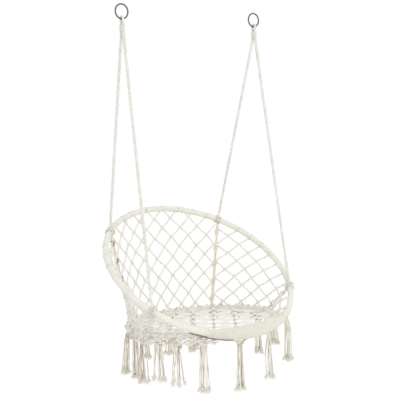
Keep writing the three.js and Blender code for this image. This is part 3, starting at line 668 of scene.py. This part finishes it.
def makeSinnet(tie):
    top, foot = onRing(hoop, tie["angle"]), onRing(seat, tie["seatAngle"])
    along = unit(foot - top)
    path = spaced((top + along * sinnet["endGap"], foot - along * sinnet["endGap"]), sinnet["step"])
    length = distances(path)[-1]
    lines, winds = [], []
    addLaid(lines, sinnet["core"], path, sinnet["cores"], sinnet["offset"], sinnet["pitch"])
    knots = max(round(length / sinnet["spacing"]), 1)
    side = np.cross(along, (0.0, 0.0, 1.0))
    for knot in range(knots):
        middle = path[0] + along * length * (knot + 0.5) / knots
        wind = straightCoil(middle, along, side * (-1) ** knot, **sinnet["wind"])
        winds.append((wind, sinnet["windCord"]))
        crossing = straightCoil(middle, along, -side, **sinnet["cross"])
        lines.append((crossing, sinnet["crossCord"]))
    made = makeCords(f"{tie['name']}_knotted_sinnet", lines, netCotton if tie["front"] else hitchCotton)
    windCotton = brownCotton if tie["name"] == "back_left" else hitchCotton
    wound = makeCords(f"{tie['name']}_sinnet_knots", winds, windCotton)
    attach(wound, "chair")
    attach(made, "chair")
    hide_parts(f"{tie['name']}_sinnet")


for tie in ties:
    makeSinnet(tie)
print("sinnets made")


# Net between the hoops. Its rows of knots are counted up from the seat hoop, and each panel
# has cells of its own, laid out from one angle.
net = {
    "strands": 3, "strand": 0.0022, "apart": 0.0021, "pitch": 0.032, "step": 0.006, "bow": 0.005,
    "shake": 0.0035, "knotCord": 0.0026, "loopCord": 0.0009, "firstRow": 0.03, "rows": 12,
    "halfSpan": 100, "edge": 0.019, "shortest": 0.006, "reachesHoop": 0.002,
    "knot": {"radius": 0.0056, "turns": 2.4, "length": 0.0115, "steps": 10},
    "loop": {"radius": 0.0129, "turns": 1.6, "pitch": 0.0026, "steps": 16},
}
backCells = {"half": 180 / 29, "rise": 0.042, "waist": 0.0}
sideCells = {"half": 180 / 21, "rise": 0.0355, "waist": 0.022}
frontCells = {"half": 180 / 21, "rise": 0.0355, "waist": 0.0}
panels = [
    {"name": "back_net", "cells": backCells, "middle": 180, "first": "back_right", "last": "back_left"},
    {"name": "left_net", "cells": sideCells, "middle": 225.2, "first": "back_left", "last": "front_left"},
    {"name": "right_net", "cells": sideCells, "middle": 134.8,
     "first": "front_right", "last": "back_right"},
    {"name": "front_left_net", "cells": frontCells, "middle": -60.7, "first": "front_left", "last": None},
    {"name": "front_right_net", "cells": frontCells, "middle": 60.7, "first": None, "last": "front_right"},
]
tieNamed = {tie["name"]: tie for tie in ties}


def netReach(angle):
    return np.linalg.norm(onRing(hoop, angle) - onRing(seat, angle))


def netPoint(angle, above):
    share = above / netReach(angle)
    return onRing(seat, angle) * (1 - share) + onRing(hoop, angle) * share


def sinnetAngle(name, angle, above):
    # Where a sinnet crosses the line that stands on one angle of the seat hoop
    if name is None:
        return 0.0
    tie = tieNamed[name]
    share = min(max(above / netReach(angle), 0), 1)
    return tie["seatAngle"] + (tie["angle"] - tie["seatAngle"]) * share


def panelEnds(panel, angle, above):
    # Past 180 degrees the angles count on, as the middles of the panels do
    first = sinnetAngle(panel["first"], angle, above)
    last = sinnetAngle(panel["last"], angle, above)
    first += 360 if first < panel["middle"] - 180 else 0
    last += 360 if last < first else 0
    return first, last


def panelPoint(panel, angle, above):
    # A net that is taut between two sinnets is drawn in there, most at its middle
    first, last = panelEnds(panel, angle, above)
    around = min(max((angle - first) / (last - first), 0), 1)
    share = min(max(above / netReach(angle), 0), 1)
    drawn = panel["cells"]["waist"] * math.sin(math.pi * around) * math.sin(math.pi * share)
    turn = math.radians(angle)
    return netPoint(angle, above) + np.array((-math.sin(turn), math.cos(turn), 0.0)) * drawn


def netEdges(panel, angle, above):
    # Room left to the first sinnet, the last sinnet, the seat hoop and the upper hoop, in metres
    first, last = panelEnds(panel, angle, above)
    reach = math.radians(1) * (hoop["radius"] + seat["radius"]) / 2
    return (angle - first) * reach, (last - angle) * reach, above, netReach(angle) - above


def addNetCord(lines, start, end, outward):
    bow = outward * random.uniform(-1, 1) * net["bow"]
    path = spaced(rounded([start, (start + end) / 2 + bow, end], 2), net["step"])
    addLaid(lines, net["strand"], path, net["strands"], net["apart"], net["pitch"], random.random())


def makePanel(panel):
    def inside(angle, above):
        return min(netEdges(panel, angle, above)) > 0

    half, rise = panel["cells"]["half"], panel["cells"]["rise"]
    columns = math.ceil(net["halfSpan"] / half)
    knots, lines, loops = {}, [], []
    for column in range(-columns, columns + 1):
        for row in range(net["rows"]):
            angle, above = panel["middle"] + (column + 1) * half, net["firstRow"] + row * rise
            if (column + row) % 2 == 0 and min(netEdges(panel, angle, above)) > net["edge"]:
                point = panelPoint(panel, angle, above) + shaken(net["shake"])
                knots[column, row] = (angle, above, point)
    for (column, row), (angle, above, point) in knots.items():
        outward = unit((point - hoop["middle"]) * (1, 1, 0))
        for way, lift in ((-1, 1), (1, 1), (-1, -1), (1, -1)):
            other = knots.get((column + way, row + lift))
            if other:
                if lift > 0:
                    addNetCord(lines, point, other[2], outward)
                continue
            # A cord that leads to no knot ends at a sinnet or a hoop
            at = furthest((angle, above), (angle + way * half, above + lift * rise), inside)
            end = panelPoint(panel, *at)
            if np.linalg.norm(end - point) > net["shortest"]:
                addNetCord(lines, point, end, outward)
            for ring, room in zip((seat, hoop), netEdges(panel, *at)[2:]):
                if room < net["reachesHoop"]:
                    loop = ringCoil(ring, at[0], start=random.random(), **net["loop"])
                    loops.append((loop, net["loopCord"]))
        axis = unit(netPoint(angle, above + nearby) - netPoint(angle, above - nearby))
        knot = straightCoil(point, axis, np.cross(axis, outward), **net["knot"])
        lines.append((knot, net["knotCord"]))
    made = makeCords(f"{panel['name']}_cords", lines, netCotton, sides=6)
    tied = makeCords(f"{panel['name']}_loops", loops, wrapCotton, sides=6)
    for piece in (made, tied):
        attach(piece, "chair")
    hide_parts(panel["name"])


for panel in panels:
    makePanel(panel)
print("net made")


# Knotted web inside the seat hoop
web = {
    "halfWidth": 0.086, "halfDepth": 0.044, "turn": -37.0, "sag": 0.014, "strand": 0.0015, "strands": 4,
    "fan": 0.0125, "gathered": 0.0026, "fanSteps": 8, "drop": 0.002, "shortest": 0.012,
    "edgeGap": 0.002, "knotGap": 0.016, "knotCord": 0.0023, "loopCord": 0.0013,
    "loopsAt": (-1.6, -0.8, 0, 0.8, 1.6),
    "knot": {"radius": 0.0052, "turns": 8, "length": 0.042, "steps": 12},
    "loop": {"radius": 0.0134, "turns": 1.3, "pitch": 0.003, "steps": 14},
}


def webPoint(x, y):
    reach = min(math.hypot(x, y) / seat["radius"], 1)
    flatY, z = rotated(y, -web["sag"] * (1 - reach * reach), seat["tilt"])
    return seat["middle"] + np.array((x, flatY, z))


def makeWeb():
    def inside(x, y):
        return math.hypot(x, y) < edge

    fans, knots = [], []
    columns = math.ceil(seat["radius"] / web["halfWidth"]) + 1
    rows = math.ceil(seat["radius"] / web["halfDepth"])
    edge = seat["radius"] - web["edgeGap"]
    turn = math.radians(web["turn"])
    right, ahead = np.array((math.cos(turn), math.sin(turn))), np.array((-math.sin(turn), math.cos(turn)))
    for column in range(-columns, columns + 1):
        for row in range(-rows, rows + 1):
            x, y = (column + 0.5) * web["halfWidth"] * right + row * web["halfDepth"] * ahead
            if (column + row) % 2 or math.hypot(x, y) > edge - web["knotGap"]:
                continue
            axis = unit(webPoint(*((x, y) + ahead * nearby)) - webPoint(*((x, y) - ahead * nearby)))
            knot = straightCoil(webPoint(x, y), axis, np.array((*right, 0.0)), **web["knot"])
            knots.append((knot, web["knotCord"]))
            for way, lift in ((-1, -1), (-1, 1), (1, -1), (1, 1)):
                endX, endY = (x, y) + way * right * web["halfWidth"] + lift * ahead * web["halfDepth"]
                closes = math.hypot(endX, endY) <= edge - web["knotGap"]
                if closes and way < 0:
                    continue  # drawn from its other end
                if not closes:
                    endX, endY = furthest((x, y), (endX, endY), inside)
                    angle = math.degrees(math.atan2(endX, -endY))
                    for offset in web["loopsAt"]:
                        loop = ringCoil(seat, angle + offset, start=random.random(), **web["loop"])
                        knots.append((loop, web["loopCord"]))
                addWebLink(fans, x, y, endX, endY, closes)
    made = makeCords("seat_web_cords", fans, webCotton, sides=6)
    tied = makeCords("seat_web_knots", knots, netCotton, sides=6)
    for piece in (made, tied):
        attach(piece, "chair")
    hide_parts("seat_web")


def addWebLink(lines, x, y, endX, endY, closes):
    # Parallel cords that spread between two knots, or from a knot to the hoop
    long = math.hypot(endX - x, endY - y)
    if long < web["shortest"]:
        return
    aside = np.array((-(endY - y), endX - x)) / long
    for strand in np.linspace(-1, 1, web["strands"]):
        points = []
        for step in range(web["fanSteps"] + 1):
            share = step / web["fanSteps"]
            swell = math.sin(math.pi * share) if closes else math.sin(math.pi * share / 2)
            spread = strand * (web["gathered"] + web["fan"] * swell)
            strandX = x + (endX - x) * share + aside[0] * spread
            strandY = y + (endY - y) * share + aside[1] * spread
            drop = web["drop"] * math.sin(math.pi * share) * random.random()
            points.append(webPoint(strandX, strandY) + down * drop)
        lines.append((np.array(points), web["strand"]))


makeWeb()
print("web made")


# Lashings that bind the two hoops together along the front, one beside the other
lashing = {
    "angles": (-18.5, 0, 18.5), "turns": 44, "pitch": 0.00298, "cord": 0.00145, "path": 0.0139, "steps": 12,
}


def makeLashing(index, middleAngle):
    # Each turn goes half round the upper hoop and half round the seat hoop
    points, perHoop = [], lashing["steps"]
    for step in range(lashing["turns"] * perHoop * 2 + 1):
        turn = step / perHoop / 2
        shift = math.degrees((turn - lashing["turns"] / 2) * lashing["pitch"] / hoop["radius"])
        angle = middleAngle + shift
        front = onRing(hoop, angle)
        seatAngle = angleOn(seat, front)
        back = onRing(seat, seatAngle)
        inTurn = step % (perHoop * 2)
        onBack = inTurn >= perHoop
        ring, at, centre = (seat, seatAngle, back) if onBack else (hoop, angle, front)
        along = tangentOn(ring, at)
        towards = back - front
        towards = unit(towards - along * towards.dot(along))
        above = np.cross(along, towards)
        around = math.radians((inTurn % perHoop) / (perHoop - 1) * 180 + (-90 if onBack else 90))
        points.append(centre + lashing["path"] * (towards * math.cos(around) + above * math.sin(around)))
    made = makeCords(f"front_lashing_{index}_cord", [(np.array(points), lashing["cord"])], wrapCotton)
    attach(made, "chair")
    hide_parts(f"front_lashing_{index}")


for index, angle in enumerate(lashing["angles"], start=1):
    makeLashing(index, angle)
print("lashings made")


# Fringe: a knotted band round and under the seat hoop, and tassels. Each tassel's place names its
# hoop, angle and length. Some are wider than the rest, lean outwards, have more tan strands or
# hold cords that reach further along the hoop.
# shadeStrandCount counts the strands of each tassel cut in dark brown as painted shade between the strands
tassel = {
    "strands": 15, "strand": 0.0011, "plies": 2, "laid": 0.0009, "pitch": 0.016, "step": 0.006,
    "width": 0.0165, "depth": 0.0145, "head": 0.024, "tip": 0.02, "uneven": 0.014, "tan": 0.28,
    "shadeStrandCount": 1, "gathers": 6, "gatherShake": 0.15, "innerGather": 0.2, "crossing": 0.4,
    "loose": (0.0045, 0.003), "middleAt": (0.45, 0.7), "sway": 0.003, "swayStep": 0.03, "swayTurns": 1.7,
    "gatherShares": {"top": 0.6, "middle": 0.85, "foot": 0.95},
    "leanShares": {"head": 0.6, "middle": 0.3, "foot": 0.5},
}
tasselHead = {
    "reach": (0.009, 0.02), "tanReach": 0.025, "gatheredReach": 0.02, "gathered": 0.5, "sag": 0.05,
    "step": 0.004, "thicker": 1.2, "loopCord": 0.0014, "knotsAt": (-1, -0.4, 0.3, 1), "knotSpread": 0.6,
    "knotShake": 0.004, "tanBeyond": 0.5, "knotCord": 0.0021,
    "loop": {"radius": 0.0136, "turns": 1.6, "pitch": 0.0034, "steps": 16, "start": 0.5},
    "knot": {"radius": 0.0046, "turns": 2.6, "length": 0.011, "steps": 12},
}
tasselTip = {
    "fibres": 20, "fibre": 0.0005, "thinned": 0.5, "spread": 0.0085, "lean": 0.4, "reach": (0.55, 1.0),
    "curve": ((0, 0.1), (0.5, 0.7), (1, 1)), "knotted": 0.5, "knotAbove": 0.003, "knotCord": 0.0014,
    "knot": {"radius": 0.0024, "turns": 1.6, "length": 0.005, "steps": 8},
}
tasselPlaces = [
    {"ring": seat, "angle": -160, "length": 0.173},
    {"ring": seat, "angle": -126, "length": 0.189, "wide": 1.25, "out": 0.02, "tan": 0.5,
     "left": (0.012, 0.03)},
    {"ring": seat, "angle": -102, "length": 0.186, "wide": 1.2},
    {"ring": seat, "angle": -89, "length": 0.191, "wide": 1.1, "tan": 0.45},
    {"ring": seat, "angle": -72, "length": 0.173, "wide": 1.3},
    {"ring": seat, "angle": -56, "length": 0.186, "wide": 1.35},
    {"ring": seat, "angle": -37, "length": 0.211},
    {"ring": seat, "angle": -9, "length": 0.222, "head": 0.033, "left": (0.02, 0.045),
     "right": (0.03, 0.05, 0.085)},
    {"ring": seat, "angle": 22, "length": 0.211, "wide": 1.15},
    {"ring": hoop, "angle": 34, "length": 0.186, "wide": 0.75, "out": 0.004},
    {"ring": seat, "angle": 61, "length": 0.122},
    {"ring": seat, "angle": 90, "length": 0.18, "wide": 1.1},
    {"ring": seat, "angle": 152, "length": 0.18},
    {"ring": seat, "angle": 174, "length": 0.182},
]
band = {
    "first": 74, "last": 331, "columns": 41, "cord": 0.0019, "offset": 0.0015, "pitch": 0.022,
    "strands": 2, "cover": (150, 60, 0, -60), "rows": (0.009, 0.017, 0.024), "shake": 0.0012,
    "sag": 0.0015, "step": 0.005, "knotCord": 0.0023, "tan": 0.22,
    "knot": {"radius": 0.0048, "turns": 2.3, "length": 0.008, "steps": 10},
}


def bandPoint(angle, row, shake=0.0):
    # The first rows lie round the seat hoop, and the rest hang below it
    if row < len(band["cover"]):
        turn, reach = math.radians(band["cover"][row]), wrapRadius + band["offset"] + band["cord"] / 2
        point = onRing(seat, angle, reach * math.cos(turn), reach * math.sin(turn))
    else:
        point = onRing(seat, angle) + down * (wrapRadius + band["rows"][row - len(band["cover"])])
    return point + shaken(shake)


def addBandCord(lines, start, end):
    middle = (start + end) / 2 + down * band["sag"]
    path = spaced(rounded([start, middle, end], 1), band["step"])
    addLaid(lines, band["cord"], path, band["strands"], band["offset"], band["pitch"], random.random())


def makeBand():
    # Crossed cords with a knot at each crossing, from inside the seat hoop over its outer side
    step = (band["last"] - band["first"]) / band["columns"]
    light, tan = [], []
    for row in range(1, len(band["cover"]) + len(band["rows"])):
        for column in range(band["columns"] + 1 - row % 2):
            angle = band["first"] + (column + row % 2 / 2) * step
            point = bandPoint(angle, row, band["shake"])
            lines = tan if random.random() < band["tan"] else light
            for way in (-0.5, 0.5):
                addBandCord(lines, bandPoint(angle + way * step, row - 1), point)
            knot = straightCoil(point, -down, tangentOn(seat, angle), **band["knot"])
            lines.append((knot, band["knotCord"]))
    for name, lines, material in (("fringe_band", light, netCotton), ("fringe_band_tan", tan, tanCotton)):
        made = makeCords(name, lines, material, sides=6)
        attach(made, "chair")


def hoopUnderside(ring, angle, slope):
    return onRing(ring, angle) + down * wrapRadius * math.hypot(1, slope)


def loosened(along, across):
    # How far a strand strays from its bundle
    wide, deep = tassel["loose"]
    return along * random.uniform(-1, 1) * wide + across * random.uniform(-1, 1) * deep


def strandPath(points, sway):
    # A limp strand with a slow wave
    points = spaced(points, tassel["swayStep"])
    share = np.linspace(0, 1, len(points))[:, None]
    return spaced(rounded(points + sway * np.sin(math.pi * share * tassel["swayTurns"])), tassel["step"])


def addTip(lines, fine, foot, lean):
    # The end of a strand: often a small knot, and fibres that come apart
    if random.random() < tasselTip["knotted"]:
        knot = straightCoil(
            foot - down * tasselTip["knotAbove"], down, np.array((1.0, 0.0, 0.0)), **tasselTip["knot"]
        )
        lines.append((knot, tasselTip["knotCord"]))
    for _ in range(tasselTip["fibres"]):
        reach = random.uniform(*tasselTip["reach"]) * tassel["tip"]
        spread = lean * tasselTip["lean"] + shaken((1, 1, 0)) * tasselTip["spread"]
        points = [foot + down * reach * share + spread * out for share, out in tasselTip["curve"]]
        path = rounded(points, 1)
        fine.append((path, np.linspace(1, tasselTip["thinned"], len(path)) * tasselTip["fibre"]))


def addHead(light, tan, place, head, along, across, slope):
    # Cords that come together from the hoop, and the knots that gather them
    ring, angle = place["ring"], place["angle"]
    banded = ring is seat and not band["last"] - 360 < angle < band["first"]
    for way in (-1, 1):
        for offset in place.get("right" if way > 0 else "left", tasselHead["reach"]):
            at = angle + math.degrees(way * offset / ring["radius"])
            start = hoopUnderside(ring, at, slope)
            end = head + along * way * min(offset, tasselHead["gatheredReach"]) * tasselHead["gathered"]
            knee = (start + end) / 2 + down * tasselHead["sag"] * offset
            path = spaced(rounded([start, knee, end]), tasselHead["step"])
            lines, strand = tan if offset > tasselHead["tanReach"] else light, tassel["strand"]
            strand *= tasselHead["thicker"]
            addLaid(lines, strand, path, tassel["plies"], tassel["laid"], tassel["pitch"])
            if not banded:
                light.append((ringCoil(ring, at, **tasselHead["loop"]), tasselHead["loopCord"]))
    width = tassel["width"] * place.get("wide", 1)
    for way in tasselHead["knotsAt"]:
        lift = random.uniform(-tasselHead["knotShake"], tasselHead["knotShake"])
        foot = head + along * way * width * tasselHead["knotSpread"] + down * lift
        lines = tan if way > tasselHead["tanBeyond"] else light
        lines.append((straightCoil(foot, down, across, **tasselHead["knot"]), tasselHead["knotCord"]))


def makeTassel(index, place):
    ring, angle = place["ring"], place["angle"]
    light, tan, shadeLines, fine = [], [], [], []
    width, out = tassel["width"] * place.get("wide", 1), place.get("out", 0)
    headLength = place.get("head", tassel["head"])
    gatherShares, leanShares = tassel["gatherShares"], tassel["leanShares"]
    tangent = tangentOn(ring, angle)
    slope = tangent[2] / math.hypot(tangent[0], tangent[1])
    along = unit(tangent * (1, 1, 0))
    across = np.cross(along, (0.0, 0.0, 1.0))  # outwards
    head = hoopUnderside(ring, angle, slope) + down * headLength + across * out * leanShares["head"]
    addHead(light, tan, place, head, along, across, slope)
    # The strands hang in a few bundles, and some cross from one bundle to the next
    turn, gathers = random.uniform(0, math.tau), []
    for bundle in range(tassel["gathers"]):
        shake = random.uniform(-tassel["gatherShake"], tassel["gatherShake"])
        around = turn + (bundle + shake) / tassel["gathers"] * math.tau
        gathers.append(along * math.cos(around) * width + across * math.sin(around) * tassel["depth"])
    gathers[0] *= tassel["innerGather"]
    for strand in range(tassel["strands"]):
        gather = gathers[strand % len(gathers)]
        above = gathers[(strand + 1) % len(gathers)] if random.random() < tassel["crossing"] else gather
        lines = tan if random.random() < place.get("tan", tassel["tan"]) else light
        # The first strands are dark brown: painted shade, standing for the dark lines of shade between the
        # strands
        lines = shadeLines if strand < tassel["shadeStrandCount"] else lines
        loose = loosened(along, across)
        fall = place["length"] - headLength - tassel["tip"] - random.uniform(0, tassel["uneven"])
        foot = head + down * fall + gather * gatherShares["foot"]
        foot = foot + loosened(along, across) + across * out * leanShares["foot"]
        middle = head + down * fall * random.uniform(*tassel["middleAt"])
        middle = middle + gather * gatherShares["middle"] + loose + across * out * leanShares["middle"]
        sway = (along * random.uniform(-1, 1) + across * random.uniform(-1, 1)) * tassel["sway"]
        path = strandPath([head + above * gatherShares["top"] + loose, middle, foot], sway)
        addLaid(lines, tassel["strand"], path, tassel["plies"], tassel["laid"], tassel["pitch"])
        addTip(lines, fine, path[-1], gather * gatherShares["top"])
    name = f"tassel_{index:02d}"
    made = makeCords(f"{name}_strands", light, tasselCotton, sides=6)
    darker = makeCords(f"{name}_tan_strands", tan, tanCotton, sides=6)
    shadeStrands = makeCords(f"{name}_shade_strands", shadeLines, brownCotton, sides=6)
    fray = makeCords(f"{name}_fray", fine, frayCotton, sides=4)
    for piece in (made, darker, shadeStrands, fray):
        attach(piece, "chair")
    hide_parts(name)


# The dark cord laid as painted shadow under the upper hoop
shadowLine = {
    "first": -39, "last": -12, "every": 2, "below": (0.0163, 0.0177), "cords": (0.0022, 0.0017),
    "shake": 0.0008, "strands": 2, "offset": 0.0012, "pitch": 0.02, "step": 0.004,
    "taperAt": (0, 0.3, 0.85, 1), "taperShares": (0.3, 1, 1, 0.6),
}


def makeShadowLine():
    # Painted shadow: a dark cord along the underside of the upper hoop, up to a tassel, laid where the band
    # passes into shade beneath the hoop
    lines = []
    for row, (below, cord) in enumerate(zip(shadowLine["below"], shadowLine["cords"])):
        points = []
        for angle in range(shadowLine["first"], shadowLine["last"], shadowLine["every"]):
            points.append(onRing(hoop, angle) + down * below + shaken(shadowLine["shake"]))
        path = spaced(rounded(points, 1), shadowLine["step"])
        taper = np.interp(np.linspace(0, 1, len(path)), shadowLine["taperAt"], shadowLine["taperShares"])
        addLaid(lines, cord * taper, path, shadowLine["strands"], shadowLine["offset"], shadowLine["pitch"], row / 2)
    made = makeCords("fringe_shadow_line", lines, shadowLineCotton, sides=6)
    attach(made, "chair")


makeBand()
makeShadowLine()
for index, place in enumerate(tasselPlaces, start=1):
    makeTassel(index, place)
print("fringe made")


# Floor, light and world
studio = {
    "floorZ": -1.95, "floorSize": 24.0, "floorGrey": 0.9, "floorRoughness": 0.9, "floorGlow": 1.06,
    "glowShare": 0.9, "world": 0.93, "background": 1.0,
}
lamps = [
    {"name": "key", "place": (-1.0, -3.3, 0.2), "target": (0, 0, -1.1), "size": 2.6, "power": 24},
    {"name": "fill", "place": (2.4, -2.8, 0.2), "target": (0, 0, -1.0), "size": 2.6, "power": 6},
]


def makeFloor():
    bpy.ops.mesh.primitive_plane_add(size=studio["floorSize"], location=(0, 0, studio["floorZ"]))
    floor = bpy.context.object
    floor.name = "floor"
    material, tree, shader = newMaterial("paleFloor")
    shader.inputs["Base Color"].default_value = (*[studio["floorGrey"]] * 3, 1)
    shader.inputs["Roughness"].default_value = studio["floorRoughness"]
    glow = tree.nodes.new("ShaderNodeEmission")
    glow.inputs["Strength"].default_value = studio["floorGlow"]
    path = tree.nodes.new("ShaderNodeLightPath")
    seen = addMath(tree, "MAXIMUM", path.outputs["Is Camera Ray"], path.outputs["Is Glossy Ray"])
    mix = tree.nodes.new("ShaderNodeMixShader")
    tree.links.new(addMath(tree, "MULTIPLY", seen, studio["glowShare"]), mix.inputs[0])
    tree.links.new(shader.outputs[0], mix.inputs[1])
    tree.links.new(glow.outputs[0], mix.inputs[2])
    tree.links.new(mix.outputs[0], tree.nodes["Material Output"].inputs["Surface"])
    floor.data.materials.append(material)
    floor.select_set(False)


def makeWorld():
    world = bpy.data.worlds.new("studio")
    bpy.context.scene.world = world
    world.use_nodes = True
    tree = world.node_tree
    tree.nodes.clear()
    path = tree.nodes.new("ShaderNodeLightPath")
    seen = addMath(
        tree, "MAXIMUM", path.outputs["Is Camera Ray"],
        addMath(tree, "MAXIMUM", path.outputs["Is Glossy Ray"], path.outputs["Is Transmission Ray"]),
    )
    soft, white = tree.nodes.new("ShaderNodeBackground"), tree.nodes.new("ShaderNodeBackground")
    for background, strength in ((soft, studio["world"]), (white, studio["background"])):
        background.inputs["Color"].default_value = (1, 1, 1, 1)
        background.inputs["Strength"].default_value = strength
    mix = tree.nodes.new("ShaderNodeMixShader")
    out = tree.nodes.new("ShaderNodeOutputWorld")
    tree.links.new(seen, mix.inputs[0])
    tree.links.new(soft.outputs[0], mix.inputs[1])
    tree.links.new(white.outputs[0], mix.inputs[2])
    tree.links.new(mix.outputs[0], out.inputs["Surface"])


def addLamp(name, place, target, size, power):
    data = bpy.data.lights.new(name, "AREA")
    data.size, data.energy = size, power
    lamp = bpy.data.objects.new(name, data)
    bpy.context.scene.collection.objects.link(lamp)
    back = unit(np.array(place, float) - np.array(target, float))
    turnTo(lamp, place, unit(np.cross((0.0, 0.0, 1.0), back)), back)


makeFloor()
makeWorld()
for lamp in lamps:
    addLamp(**lamp)
bpy.context.scene.view_settings.view_transform = "Standard"
print("studio lit")
